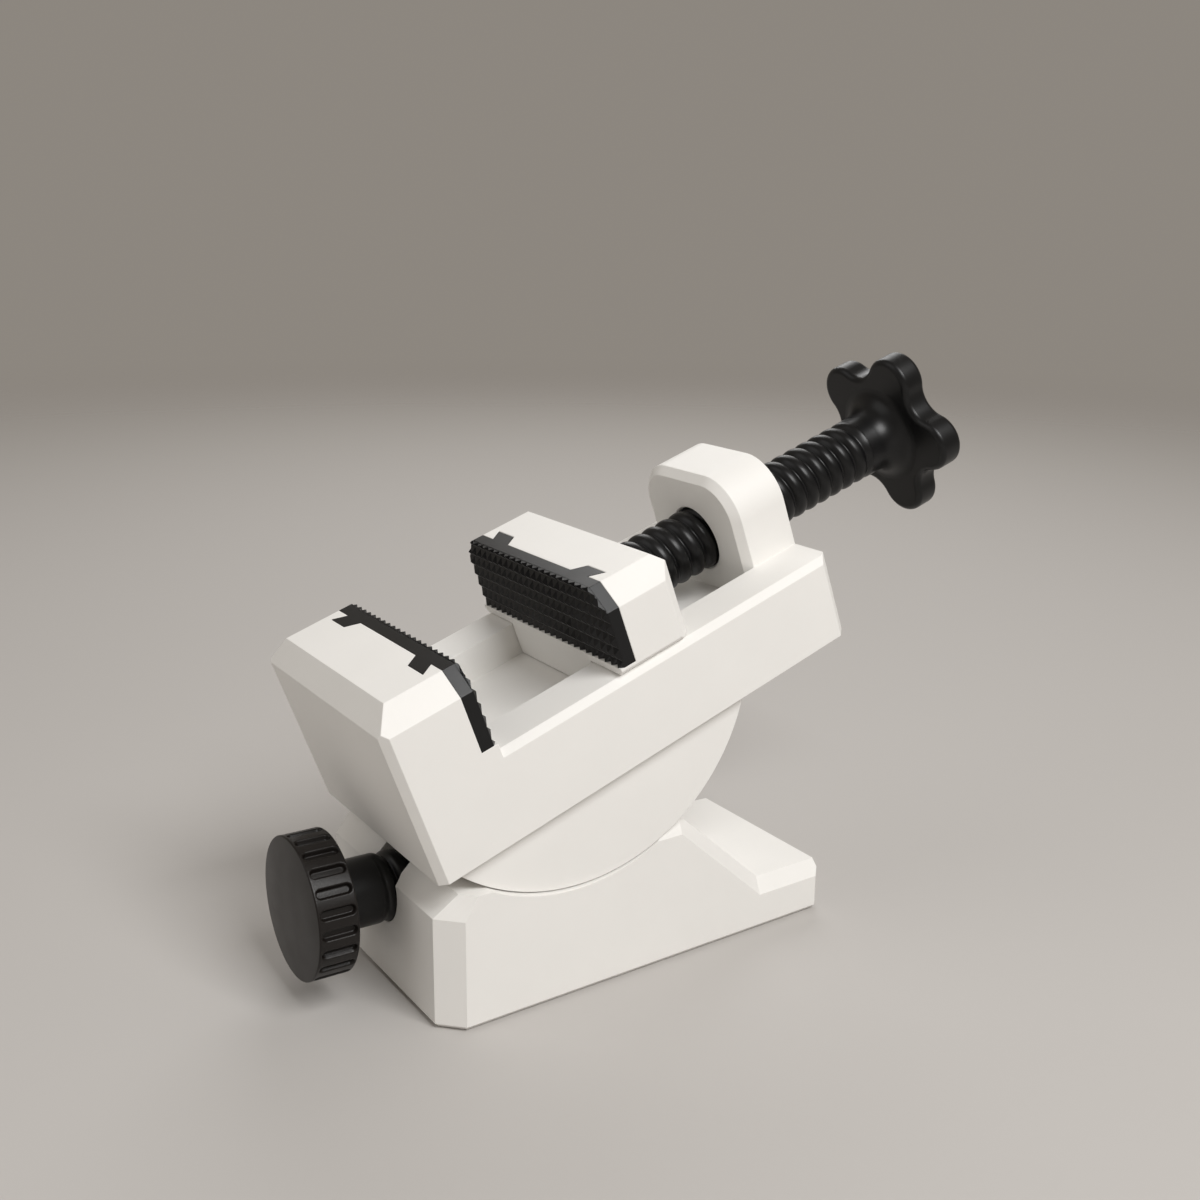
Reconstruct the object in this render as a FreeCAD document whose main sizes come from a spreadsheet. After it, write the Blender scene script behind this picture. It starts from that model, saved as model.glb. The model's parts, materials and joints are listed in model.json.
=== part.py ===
import FreeCAD, Part
import math
import os
import Sketcher

# A small printed bench vise. Its slide bed stands on a round sector that rocks in the
# cradle of the base, and a knob at the front of the base clamps the sector.
# +X points to one side, +Y from the lock knob to the lead screw's knob, +Z up.
# The origin lies on the bench, under the middle of the base.

os.makedirs("parts", exist_ok=True)
doc = FreeCAD.newDocument("tilting_vise")
sheet = doc.addObject("Spreadsheet::Sheet", "Sizes")

# Driving sizes in millimetres and degrees: alias, value.
SIZES = (
    # base block
    ("base_front_width", 60.4), ("base_rear_width", 50.2), ("base_length", 104.0),
    ("wall_height", 25.0), ("wall_bevel", 5.0), ("wall_corner", 5.2), ("corner_lean", 24.0),
    ("base_corner", 1.5),
    ("horn_height", 33.5), ("horn_crest", 3.0), ("pad_height", 12.0), ("slope_run", 24.0),
    ("top_edge", 3.2), ("bottom_edge", 1.2),
    # tilt axis, sector and cradle
    ("axis_front", 32.2), ("cradle_floor", 24.9), ("rest_tilt", 20.0), ("sector_radius", 45.0),
    ("sector_width", 55.0), ("cradle_gap", 0.3),
    # hooked rails that hold the sector down, and their slots
    ("rail_inner", 14.0), ("rail_neck", 3.6), ("hook_width", 7.0), ("rail_depth", 6.0),
    ("hook_depth", 3.0), ("rail_start", -9.0), ("rail_end", 11.0), ("slot_start", -29.0),
    ("slot_end", 62.0), ("rail_gap", 0.3),
    # lock screw, brake shoe and lock knob
    ("lock_height", 22.0), ("lock_radius", 7.6), ("lock_bore_gap", 0.2), ("bore_depth", 24.0),
    ("notch_width", 12.0), ("shoe_key", 7.2),
    ("shoe_front", 7.6), ("shoe_length", 14.8), ("shoe_gap", 0.1),
    ("spigot_radius", 3.5), ("spigot_length", 4.0), ("spigot_gap", 0.3), ("knob_stand", 11.7),
    ("lock_knob_radius", 15.6), ("lock_knob_length", 8.8), ("lock_knob_dome", 0.5),
    ("lock_knob_rim", 0.6), ("lock_knob_flat", 8.0), ("flute_count", 22.0),
    ("flute_width", 2.9), ("flute_floor", 1.8), ("flute_depth", 1.0), ("flute_front", 2.2),
    ("flute_rear", 0.7), ("lock_tang", 5.0),
    # slide bed, measured back from its front face and down from the top of the jaws
    ("jaw_width", 60.0), ("bed_length", 111.2), ("axis_back", 42.8), ("axis_drop", 17.0),
    ("jaw_height", 20.0), ("bed_bottom", 40.2), ("front_bevel", 4.6), ("jaw_bevel_across", 4.5),
    ("jaw_bevel_down", 5.0), ("front_corner", 1.7), ("rear_corner", 2.5), ("bed_edge", 1.5),
    ("channel_width", 35.2), ("channel_depth", 8.0),
    # rear lug, the lead screw's nut
    ("lug_width", 35.6), ("lug_length", 14.4), ("lug_rise", 1.5), ("lug_round", 10.0),
    ("lug_bevel", 1.8), ("screw_drop", 15.3), ("screw_radius", 7.6), ("screw_gap", 0.1),
    ("bore_bevel", 0.5),
    # jaw inserts
    ("plate_seat", 17.9), ("plate_thick", 3.9), ("plate_height", 18.0), ("tooth_pitch", 2.5),
    ("tooth_depth", 1.0), ("tooth_flat", 0.3), ("key_inner", 13.7), ("key_width", 6.9),
    ("key_flare", 2.3), ("key_length", 3.0), ("key_gap", 0.1),
    # moving jaw
    ("jaw_opening", 30.8), ("moving_thick", 15.3), ("slide_gap", 0.3), ("rear_bevel", 2.4),
    ("moving_corner", 3.0), ("foot_edge", 1.0), ("screw_depth", 11.8),
    # lead screw and the clip that ties it to the moving jaw
    ("screw_length", 96.9), ("neck_radius", 5.2), ("neck_start", 2.6), ("neck_length", 3.2),
    ("hub_flare", 4.0), ("tang_side", 10.0), ("tang_length", 5.0),
    ("clip_thick", 2.8), ("clip_width", 23.0), ("clip_gap", 0.2), ("clip_rise", 4.0),
    # star knob
    ("star_radius", 21.5), ("star_valley", 15.1), ("star_lobe", 6.6), ("star_thick", 6.8),
    ("star_edge", 0.9), ("star_turn", 66.6), ("socket_gap", 0.1),
    # bolts that join the bed to the sector
    ("bolt_radius", 2.0), ("bolt_head_radius", 3.5), ("bolt_head", 4.0), ("bolt_gap", 0.15),
    ("bolt_length", 20.0), ("bolt_spread", 10.0), ("bolt_front", 14.0), ("bolt_rear", 20.0),
    ("hex_radius", 1.7), ("hex_depth", 2.0),
)
for row, (alias, value) in enumerate(SIZES, start=1):
    sheet.set("A%d" % row, alias)
    sheet.set("B%d" % row, str(value))
    sheet.setAlias("B%d" % row, alias)
doc.recompute()


class Size:
    """A size as the sheet's expression for it, with the number that it has now."""

    def __init__(self, text, value):
        self.text = text
        self.value = value

    def __add__(self, other):
        other = as_size(other)
        return Size("(%s + %s)" % (self.text, other.text), self.value + other.value)

    def __sub__(self, other):
        other = as_size(other)
        return Size("(%s - %s)" % (self.text, other.text), self.value - other.value)

    def __mul__(self, other):
        other = as_size(other)
        return Size("(%s * %s)" % (self.text, other.text), self.value * other.value)

    def __truediv__(self, other):
        other = as_size(other)
        return Size("(%s / %s)" % (self.text, other.text), self.value / other.value)

    def __neg__(self):
        return Size("(0 - %s)" % self.text, -self.value)


def as_size(number):
    """A plain number as a Size, so that both can stand in one sum."""
    if isinstance(number, Size):
        return number
    return Size("(%s)" % repr(float(number)), float(number))


def sine(angle):
    """The sine of an angle in degrees."""
    return Size("sin(%s)" % angle.text, math.sin(math.radians(angle.value)))


def cosine(angle):
    """The cosine of an angle in degrees."""
    return Size("cos(%s)" % angle.text, math.cos(math.radians(angle.value)))


def root(area):
    """A square root."""
    return Size("sqrt(%s)" % area.text, math.sqrt(area.value))


def size(alias):
    """A driving size, read from the sheet."""
    return Size("Sizes." + alias, float(getattr(sheet, alias)))


ZERO = as_size(0)
DEGREES_ROUND = 360
STAR_LOBES = 5
NEAR = 0.01

# Places in the base's frame.
half_length = size("base_length") / 2
axis_y = size("axis_front") - half_length
cradle_radius = size("sector_radius") + size("cradle_gap")
axis_height = size("cradle_floor") + cradle_radius
lock_bore = size("lock_radius") + size("lock_bore_gap")

# Places in the bed's frame, whose origin lies on the tilt axis.
front = -size("axis_back")
jaw_top = size("axis_drop")
bed_top = jaw_top - size("jaw_height")
bed_floor = jaw_top - size("bed_bottom")
channel_floor = bed_top - size("channel_depth")
ledge = jaw_top - size("plate_height")
seat = front + size("plate_seat")
grip = seat + size("plate_thick")
bed_rear = front + size("bed_length")
lug_front = bed_rear - size("lug_length")
moving_grip = grip + size("jaw_opening")
moving_seat = moving_grip + size("plate_thick")
moving_rear = moving_seat + size("moving_thick")
screw_tip = moving_rear - size("screw_depth")
screw_up = jaw_top - size("screw_drop")
screw_bore = size("screw_radius") + size("screw_gap")
half_jaw = size("jaw_width") / 2
tall = axis_height


def tilted(back=ZERO, up=ZERO, turn=0):
    """The place of a point of the bed's frame, turned about its upright axis."""
    lean = size("rest_tilt")
    y = axis_y + back * cosine(lean) - up * sine(lean)
    z = axis_height + back * sine(lean) + up * cosine(lean)
    rotation = "rotation(vector(1; 0; 0); %s)" % lean.text
    if turn:
        rotation += " * rotation(vector(0; 0; 1); %d)" % turn
    return "placement(vector(0; %s; %s); %s)" % (y.text, z.text, rotation)


def upright(y, z):
    """The place of a point of the base's frame."""
    return "placement(vector(0; %s; %s); rotation(vector(1; 0; 0); 0))" % (y.text, z.text)


def new_body(name, place=None):
    """A body whose Label names its file, at its place on the vise."""
    body = doc.addObject("PartDesign::Body", name)
    body.Label = name
    if place:
        body.setExpression("Placement", place)
    return body


def origin_part(body, role):
    """One of the planes or axes of the body's own origin."""
    return next(part for part in body.Origin.OriginFeatures if part.Role == role)


def sketch_on(body, role, offset=ZERO, turn=0):
    """An empty sketch on an origin plane of the body, moved along the plane's normal."""
    sketch = body.newObject("Sketcher::SketchObject", body.Name + "_outline")
    sketch.AttachmentSupport = [(origin_part(body, role), "")]
    sketch.MapMode = "FlatFace"
    if turn:
        rotation = FreeCAD.Rotation(FreeCAD.Vector(0, 1, 0), turn)
        sketch.AttachmentOffset = FreeCAD.Placement(FreeCAD.Vector(), rotation)
    if offset is not ZERO:
        sketch.setExpression("AttachmentOffset.Base.z", offset.text)
    return sketch


def measure(sketch, kind, value, *elements):
    """A dimension of the sketch, bound to the sheet."""
    index = sketch.addConstraint(Sketcher.Constraint(kind, *elements, value.value))
    sketch.setExpression("Constraints[%d]" % index, value.text)


def pin(sketch, geometry, point, across, up):
    """Two dimensions that tie a point of the sketch to its origin."""
    measure(sketch, "DistanceX", across, -1, 1, geometry, point)
    measure(sketch, "DistanceY", up, -1, 1, geometry, point)


def outline(sketch, corners):
    """A closed outline through corners (across, up). A corner that goes on with
    ("arc", centre across, centre up, radius, turn) leads to the next one by an arc."""
    corners = [tuple(as_size(n) if not isinstance(n, str) else n for n in c) for c in corners]
    points = [FreeCAD.Vector(corner[0].value, corner[1].value, 0) for corner in corners]
    first = sketch.GeometryCount
    count = len(corners)
    ends = []
    for index, corner in enumerate(corners):
        start, end = points[index], points[(index + 1) % count]
        if len(corner) == 2:
            sketch.addGeometry(Part.LineSegment(start, end), False)
            ends.append((1, 2))
            continue
        centre = FreeCAD.Vector(corner[3].value, corner[4].value, 0)
        forward = corner[6] == "left"
        low, high = (start, end) if forward else (end, start)
        angles = [math.atan2(p.y - centre.y, p.x - centre.x) for p in (low, high)]
        if angles[1] < angles[0]:
            angles[1] += 2 * math.pi
        round_edge = Part.Circle(centre, FreeCAD.Vector(0, 0, 1), corner[5].value)
        sketch.addGeometry(Part.ArcOfCircle(round_edge, *angles), False)
        ends.append((1, 2) if forward else (2, 1))
    for index, corner in enumerate(corners):
        following = (index + 1) % count
        sketch.addConstraint(Sketcher.Constraint(
            "Coincident", first + index, ends[index][1], first + following, ends[following][0]))
    for index, corner in enumerate(corners):
        pin(sketch, first + index, ends[index][0], corner[0], corner[1])
        if len(corner) > 2:
            chord = points[(index + 1) % count] - points[index]
            kind, value = ("DistanceY", corner[4]) if abs(chord.x) > abs(chord.y) else \
                          ("DistanceX", corner[3])
            measure(sketch, kind, value, -1, 1, first + index, 3)


def ring(sketch, across, up, radius):
    """A circle tied to its centre and its radius."""
    middle = FreeCAD.Vector(across.value, up.value, 0)
    index = sketch.addGeometry(
        Part.Circle(middle, FreeCAD.Vector(0, 0, 1), radius.value), False)
    pin(sketch, index, 3, across, up)
    measure(sketch, "Radius", radius, index)


def extrude(body, kind, sketch, length, both_ways=False, backwards=False):
    """A Pad or Pocket of the sketch. A Pad must add to the body and a Pocket must cut it."""
    before = body.Shape.Volume if body.Tip else 0
    feature = body.newObject("PartDesign::" + kind, body.Name + "_" + kind.lower())
    feature.Profile = sketch
    feature.setExpression("Length", length.text)
    feature.Midplane = both_ways
    feature.Reversed = backwards
    doc.recompute()
    gained = body.Shape.Volume - before
    if (gained > 0) != (kind == "Pad") or gained == 0:
        raise RuntimeError("%s changed nothing: %s" % (feature.Name, gained))
    return feature


def mirror(body, *features):
    """The same features on the other side of the body's middle plane."""
    copy = body.newObject("PartDesign::Mirrored", body.Name + "_mirrored")
    copy.Originals = list(features)
    copy.MirrorPlane = (origin_part(body, "YZ_Plane"), [""])
    body.Tip = copy
    doc.recompute()
    return copy


def revolve(body, sketch):
    """A full turn of the sketch about its level axis."""
    feature = body.newObject("PartDesign::Revolution", body.Name + "_turned")
    feature.Profile = sketch
    feature.ReferenceAxis = (sketch, ["H_Axis"])
    feature.Angle = DEGREES_ROUND
    doc.recompute()
    return feature


def square_pad(body, kind, start, length, side):
    """A square tang, or the socket for one, about the body's own axis."""
    half = side / 2
    sketch = sketch_on(body, "XZ_Plane", -(start + length))
    outline(sketch, symmetric((half, -half), (half, half)))
    return extrude(body, kind, sketch, length, backwards=kind == "Pocket")


def repeat(body, feature, direction, reach):
    """A groove repeated evenly over a length, about one tooth pitch apart."""
    row_of = body.newObject("PartDesign::LinearPattern", body.Name + "_row")
    row_of.Originals = [feature]
    row_of.Direction = direction
    row_of.Mode = "Extent"
    row_of.setExpression("Length", "Sizes." + reach)
    row_of.setExpression("Occurrences", "round(Sizes.%s / Sizes.tooth_pitch) + 1" % reach)
    body.Tip = row_of
    doc.recompute()


def soften(body, kind, amount, test):
    """A Fillet or Chamfer on every edge of the body whose ends and middle pass a test."""
    names = []
    tip = body.Tip
    for index, edge in enumerate(tip.Shape.Edges, start=1):
        middle = edge.valueAt((edge.FirstParameter + edge.LastParameter) / 2)
        if all(test(point) for point in [vertex.Point for vertex in edge.Vertexes] + [middle]):
            names.append("Edge%d" % index)
    feature = body.newObject("PartDesign::" + kind, body.Name + "_" + kind.lower())
    feature.Base = (tip, names)
    feature.setExpression("Radius" if kind == "Fillet" else "Size", amount.text)
    doc.recompute()
    if not names or "Invalid" in feature.State:
        raise RuntimeError("%s failed on %s" % (feature.Name, names))


def symmetric(*half):
    """The outline whose right half is given from its lowest corner to its highest."""
    left = [(-across, up) for across, up in reversed(half)]
    return list(half) + left


def block(body, start, end, half):
    """A pad of a mirrored upright outline from one place along the bed to another."""
    sketch = sketch_on(body, "XZ_Plane", -end)
    outline(sketch, symmetric(*half))
    return extrude(body, "Pad", sketch, end - start)


def trim(body, role, corners, length, both_sides=True):
    """A cut through the whole body along a plane's normal, on one side or on both."""
    sketch = sketch_on(body, role)
    outline(sketch, corners)
    feature = extrude(body, "Pocket", sketch, length, both_ways=True)
    if both_sides:
        mirror(body, feature)


def corner_trim(body, across, back, amount, inward):
    """A bevel down both upright corner edges at one end of the body."""
    trim(body, "XY_Plane", [(across - amount, back), (across + amount, back),
                            (across + amount, back + amount * 2 * inward)], tall * 2)


def key_corners(side, base, clearance, growing):
    """The outline of one insert key, which flares away from the middle as it goes in."""
    inner = size("key_inner") - clearance
    outer = size("key_inner") + size("key_width") + clearance
    tip = size("key_length") + clearance
    corners = [(inner, ZERO), (outer, ZERO), (outer + size("key_flare"), tip),
               (inner + size("key_flare"), tip)]
    return [(across * side, base + depth * growing) for across, depth in corners]


def jaw_half(bottom):
    """The right half of a jaw's front view: upright side and bevelled top corner."""
    return ((half_jaw, bottom), (half_jaw, jaw_top - size("jaw_bevel_down")),
            (half_jaw - size("jaw_bevel_across"), jaw_top))


def arc_band(sketch, inner, outer, start, end, middle=(ZERO, ZERO)):
    """A band between two radii about the tilt axis. Angles count back from straight down."""
    def at(radius, angle):
        return middle[0] + radius * sine(angle), middle[1] - radius * cosine(angle)
    outline(sketch, [
        at(outer, start) + ("arc",) + middle + (outer, "left"),
        at(outer, end),
        at(inner, end) + ("arc",) + middle + (inner, "right"),
        at(inner, start),
    ])


def rail_bands(body, kind, clearance, bore, start, end, middle):
    """The neck and hook of one sector rail, or the slot for them, and their mirror."""
    inner_side = size("rail_inner") - clearance
    deep = size("sector_radius") + size("rail_depth") + clearance
    hook_top = size("sector_radius") + size("rail_depth") - size("hook_depth") - clearance
    neck = sketch_on(body, "YZ_Plane", inner_side)
    arc_band(neck, bore, deep, start, end, middle)
    neck_feature = extrude(body, kind, neck, size("rail_neck") + clearance * 2,
                           backwards=kind == "Pocket")
    hook = sketch_on(body, "YZ_Plane", inner_side)
    arc_band(hook, hook_top, deep, start, end, middle)
    hook_feature = extrude(body, kind, hook, size("hook_width") + clearance * 2,
                           backwards=kind == "Pocket")
    mirror(body, neck_feature, hook_feature)


# Base block: front wall, cradle, rear horn, slope and rear pad, wider at the front.
base = new_body("base_block")
wall_top = size("wall_height") + size("wall_bevel")
wall_drop = axis_height - wall_top
horn_drop = axis_height - size("horn_height")
cradle_front = axis_y - root(cradle_radius * cradle_radius - wall_drop * wall_drop)
cradle_rear = axis_y + root(cradle_radius * cradle_radius - horn_drop * horn_drop)
crest_rear = cradle_rear + size("horn_crest")
side_view = sketch_on(base, "YZ_Plane")
outline(side_view, [
    (-half_length, 0),
    (half_length, 0),
    (half_length, size("pad_height")),
    (crest_rear + size("slope_run"), size("pad_height")),
    (crest_rear, size("horn_height")),
    (cradle_rear, size("horn_height"), "arc", axis_y, axis_height, cradle_radius, "right"),
    (cradle_front, wall_top),
    (-half_length + size("wall_bevel"), wall_top),
    (-half_length, size("wall_height")),
])
extrude(base, "Pad", side_view, size("base_front_width"), both_ways=True)
half_front = size("base_front_width") / 2
half_rear = size("base_rear_width") / 2
trim(base, "XY_Plane", [(half_front, -half_length), (half_front * 2, -half_length),
                        (half_front * 2, half_length), (half_rear, half_length)], tall * 2)
corner = size("wall_corner")
corner_trim(base, half_front, -half_length, corner, 1)

# A leaning facet over each front corner.
diagonal = root(as_size(2))
facet_foot = (half_front - corner + half_length) / diagonal
lean_run = sine(size("corner_lean")) / cosine(size("corner_lean")) * size("wall_height")
facet = sketch_on(base, "XZ_Plane", turn=-45)
outline(facet, [(facet_foot, size("wall_height")), (facet_foot + tall, size("wall_height")),
                (facet_foot + tall, size("wall_height") * 2),
                (facet_foot - lean_run, size("wall_height") * 2)])
mirror(base, extrude(base, "Pocket", facet, tall * 4, both_ways=True))

# Bevels along the side edges of the horn, the slope and the rear pad, then the foot.
rear_corner = size("base_corner")
side_reach = half_rear.value - rear_corner.value
rear_reach = cradle_rear.value - NEAR
pad_reach = size("pad_height").value - NEAR
soften(base, "Chamfer", size("top_edge"),
       lambda point: abs(point.x) > side_reach and point.y > rear_reach and point.z > pad_reach)
corner_trim(base, half_rear, half_length, rear_corner, -1)
soften(base, "Chamfer", size("bottom_edge"), lambda point: point.z < NEAR)

lock_front = sketch_on(base, "XZ_Plane", half_length)
ring(lock_front, ZERO, size("lock_height"), lock_bore)
extrude(base, "Pocket", lock_front, size("bore_depth"))
half_notch = size("notch_width") / 2
notch = sketch_on(base, "XZ_Plane", half_length)
outline(notch, symmetric((half_notch, size("lock_height")), (half_notch, tall)))
extrude(base, "Pocket", notch, size("bore_depth"))
rail_bands(base, "Pocket", size("rail_gap"), size("sector_radius") - 1, size("slot_start"),
           size("slot_end"), (axis_y, axis_height))

# Sector: the round foot of the bed, with two hooked rails.
sector = new_body("tilt_sector", tilted())
half_chord = root(size("sector_radius") * size("sector_radius") - bed_floor * bed_floor)
sector_view = sketch_on(sector, "YZ_Plane")
outline(sector_view, [
    (-half_chord, bed_floor, "arc", ZERO, ZERO, size("sector_radius"), "left"),
    (half_chord, bed_floor),
])
extrude(sector, "Pad", sector_view, size("sector_width"), both_ways=True)
rail_bands(sector, "Pad", ZERO, size("sector_radius") - 1, size("rail_start"),
           size("rail_end"), (ZERO, ZERO))
bolt_places = [(size("bolt_spread") * side, back) for side in (1, -1)
               for back in (-size("bolt_front"), size("bolt_rear"))]
bolt_seat = channel_floor - size("bolt_head")
taps = sketch_on(sector, "XY_Plane", bed_floor)
for across, back in bolt_places:
    ring(taps, across, back, size("bolt_radius"))
extrude(sector, "Pocket", taps, bed_floor - bolt_seat + size("bolt_length"))

# Slide bed: fixed jaw, guide channel and the lug that is the lead screw's nut.
bed = new_body("tilt_body", tilted())
block(bed, front, bed_rear, ((half_jaw, bed_floor), (half_jaw, bed_top - size("bed_edge")),
                             (half_jaw - size("bed_edge"), bed_top)))
block(bed, front, seat, jaw_half(bed_top - size("bed_edge")))
block(bed, seat, grip, ((half_jaw, bed_top - size("bed_edge")), (half_jaw, ledge)))
half_channel = size("channel_width") / 2
channel = sketch_on(bed, "XZ_Plane", -lug_front)
outline(channel, symmetric((half_channel, channel_floor), (half_channel, jaw_top)))
extrude(bed, "Pocket", channel, lug_front - grip, backwards=True)
half_lug = size("lug_width") / 2
lug_top = jaw_top + size("lug_rise")
lug_shoulder = lug_top - size("lug_round")
lug_arc = half_lug - size("lug_round")
lug = sketch_on(bed, "XZ_Plane", -bed_rear)
outline(lug, [
    (half_lug, channel_floor),
    (half_lug, lug_shoulder, "arc", lug_arc, lug_shoulder, size("lug_round"), "left"),
    (lug_arc, lug_top),
    (-lug_arc, lug_top, "arc", -lug_arc, lug_shoulder, size("lug_round"), "left"),
    (-half_lug, lug_shoulder),
    (-half_lug, channel_floor),
])
extrude(bed, "Pad", lug, size("lug_length"))
soften(bed, "Chamfer", size("lug_bevel"), lambda point:
       abs(point.y - lug_front.value) < NEAR and point.z > bed_top.value - NEAR
       and (point.z > bed_top.value + NEAR or abs(abs(point.x) - half_lug.value) < NEAR))
nut = sketch_on(bed, "XZ_Plane", -bed_rear)
ring(nut, ZERO, screw_up, screw_bore)
extrude(bed, "Pocket", nut, size("lug_length"), backwards=True)
soften(bed, "Chamfer", size("bore_bevel"), lambda point:
       abs(math.hypot(point.x, point.z - screw_up.value) - screw_bore.value) < NEAR)
key_slots = sketch_on(bed, "XY_Plane", jaw_top)
for side in (1, -1):
    outline(key_slots, key_corners(side, seat, size("key_gap"), -1))
extrude(bed, "Pocket", key_slots, size("plate_height"))
bolt_holes = sketch_on(bed, "XY_Plane", channel_floor)
counterbores = sketch_on(bed, "XY_Plane", channel_floor)
for across, back in bolt_places:
    ring(bolt_holes, across, back, size("bolt_radius") + size("bolt_gap"))
    ring(counterbores, across, back, size("bolt_head_radius") + size("bolt_gap"))
extrude(bed, "Pocket", bolt_holes, channel_floor - bed_floor)
extrude(bed, "Pocket", counterbores, size("bolt_head"))
trim(bed, "YZ_Plane", [(front, jaw_top - size("front_bevel")), (front, jaw_top * 2),
                       (front + size("front_bevel"), jaw_top * 2),
                       (front + size("front_bevel"), jaw_top)], size("jaw_width") * 2, False)
corner_trim(bed, half_jaw, front, size("front_corner"), 1)
corner_trim(bed, half_jaw, bed_rear, size("rear_corner"), -1)

# Bolts from the channel floor into the sector.
bolts = []
for index, (across, back) in enumerate(bolt_places):
    shank = doc.addObject("Part::Cylinder", "bolt_shank_%d" % index)
    shank.setExpression("Radius", "Sizes.bolt_radius")
    shank.setExpression("Height", "Sizes.bolt_length")
    head = doc.addObject("Part::Cylinder", "bolt_head_%d" % index)
    head.setExpression("Radius", "Sizes.bolt_head_radius")
    head.setExpression("Height", "Sizes.bolt_head")
    hexagon = doc.addObject("Part::Prism", "bolt_hexagon_%d" % index)
    hexagon.Polygon = 6
    hexagon.setExpression("Circumradius", "Sizes.hex_radius")
    hexagon.setExpression("Height", "Sizes.bolt_head")
    for piece, up in ((shank, bolt_seat - size("bolt_length")), (head, bolt_seat),
                      (hexagon, bolt_seat + size("bolt_head") - size("hex_depth"))):
        piece.setExpression("Placement.Base.x", across.text)
        piece.setExpression("Placement.Base.y", back.text)
        piece.setExpression("Placement.Base.z", up.text)
    whole = doc.addObject("Part::Fuse", "bolt_whole_%d" % index)
    whole.Base = shank
    whole.Tool = head
    bolt = doc.addObject("Part::Cut", "bolt_%d" % index)
    bolt.Base = whole
    bolt.Tool = hexagon
    bolts.append(bolt)
bolt_set = doc.addObject("Part::Compound", "sector_bolts")
bolt_set.Label = "sector_bolts"
bolt_set.Links = bolts
bolt_set.setExpression("Placement", tilted())
doc.recompute()

# Moving jaw: upright jaw, foot under its insert and a tongue in the guide channel.
jaw = new_body("moving_jaw", tilted())
jaw_foot = bed_top + size("slide_gap")
tongue_half = half_channel - size("slide_gap")
tongue_foot = channel_floor + size("slide_gap")
foot_half = half_jaw - size("foot_edge")
block(jaw, moving_seat, moving_rear,
      ((foot_half, jaw_foot), (half_jaw, jaw_foot + size("foot_edge"))) + jaw_half(jaw_foot)[1:])
block(jaw, moving_grip, moving_seat,
      ((foot_half, jaw_foot), (half_jaw, jaw_foot + size("foot_edge")), (half_jaw, ledge)))
block(jaw, moving_grip, moving_rear, ((tongue_half, tongue_foot), (tongue_half, ledge)))
socket = sketch_on(jaw, "XZ_Plane", -moving_rear)
ring(socket, ZERO, screw_up, screw_bore)
extrude(jaw, "Pocket", socket, size("screw_depth"), backwards=True)
clip_front = screw_tip + size("neck_start") + (size("neck_length") - size("clip_thick")) / 2
clip_slot_front = clip_front - size("clip_gap") / 2
clip_top = screw_up + size("clip_rise")
half_slot = (size("clip_width") + size("clip_gap")) / 2
clip_slot = sketch_on(jaw, "XZ_Plane", -clip_slot_front)
outline(clip_slot, symmetric((half_slot, tongue_foot), (half_slot, clip_top + size("clip_gap"))))
extrude(jaw, "Pocket", clip_slot, size("clip_thick") + size("clip_gap"))
moving_keys = sketch_on(jaw, "XY_Plane", jaw_top)
for side in (1, -1):
    outline(moving_keys, key_corners(side, moving_seat, size("key_gap"), 1))
extrude(jaw, "Pocket", moving_keys, size("plate_height"))
trim(jaw, "YZ_Plane", [(moving_rear, jaw_top - size("rear_bevel")), (moving_rear, jaw_top * 2),
                       (moving_rear - size("rear_bevel"), jaw_top * 2),
                       (moving_rear - size("rear_bevel"), jaw_top)], size("jaw_width") * 2, False)
corner_trim(jaw, half_jaw, moving_rear, size("moving_corner"), -1)


def jaw_insert(name, place):
    """A toothed plate that two flared keys hold in its jaw. It grips towards +Y."""
    insert = new_body(name, place)
    block(insert, ZERO, size("plate_thick"), ((half_jaw, ledge),) + jaw_half(ledge)[1:])
    keys = sketch_on(insert, "XY_Plane", ledge)
    for side in (1, -1):
        outline(keys, key_corners(side, ZERO, ZERO, -1))
    extrude(insert, "Pad", keys, size("plate_height"))
    rise = size("plate_thick")
    half_groove = (size("tooth_pitch") - size("tooth_flat")) / 2
    groove = [(-half_groove, rise), (ZERO, rise - size("tooth_depth")), (half_groove, rise)]
    upright_groove = sketch_on(insert, "XY_Plane")
    outline(upright_groove, [(across - half_jaw, back) for across, back in groove])
    upright_cut = extrude(insert, "Pocket", upright_groove, tall, both_ways=True)
    repeat(insert, upright_cut, (upright_groove, ["H_Axis"]), "jaw_width")
    level_groove = sketch_on(insert, "YZ_Plane")
    outline(level_groove, [(back, ledge + across) for across, back in groove])
    level_cut = extrude(insert, "Pocket", level_groove, size("jaw_width") * 2, both_ways=True)
    repeat(insert, level_cut, (level_groove, ["V_Axis"]), "plate_height")
    return insert


fixed_insert = jaw_insert("fixed_insert", tilted(seat))
moving_insert = jaw_insert("moving_insert", tilted(moving_seat, turn=180))

# Clip: a fork pushed up into the jaw's slot, astride the neck of the lead screw.
clip = new_body("screw_clip", tilted())
half_clip = size("clip_width") / 2
fork_half = size("neck_radius") + size("clip_gap")
fork = sketch_on(clip, "XZ_Plane", -(clip_front + size("clip_thick")))
outline(fork, [
    (-half_clip, tongue_foot),
    (half_clip, tongue_foot),
    (half_clip, clip_top),
    (fork_half, clip_top),
    (fork_half, screw_up, "arc", ZERO, screw_up, fork_half, "right"),
    (-fork_half, screw_up),
    (-fork_half, clip_top),
    (-half_clip, clip_top),
])
extrude(clip, "Pad", fork, size("clip_thick"))

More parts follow.
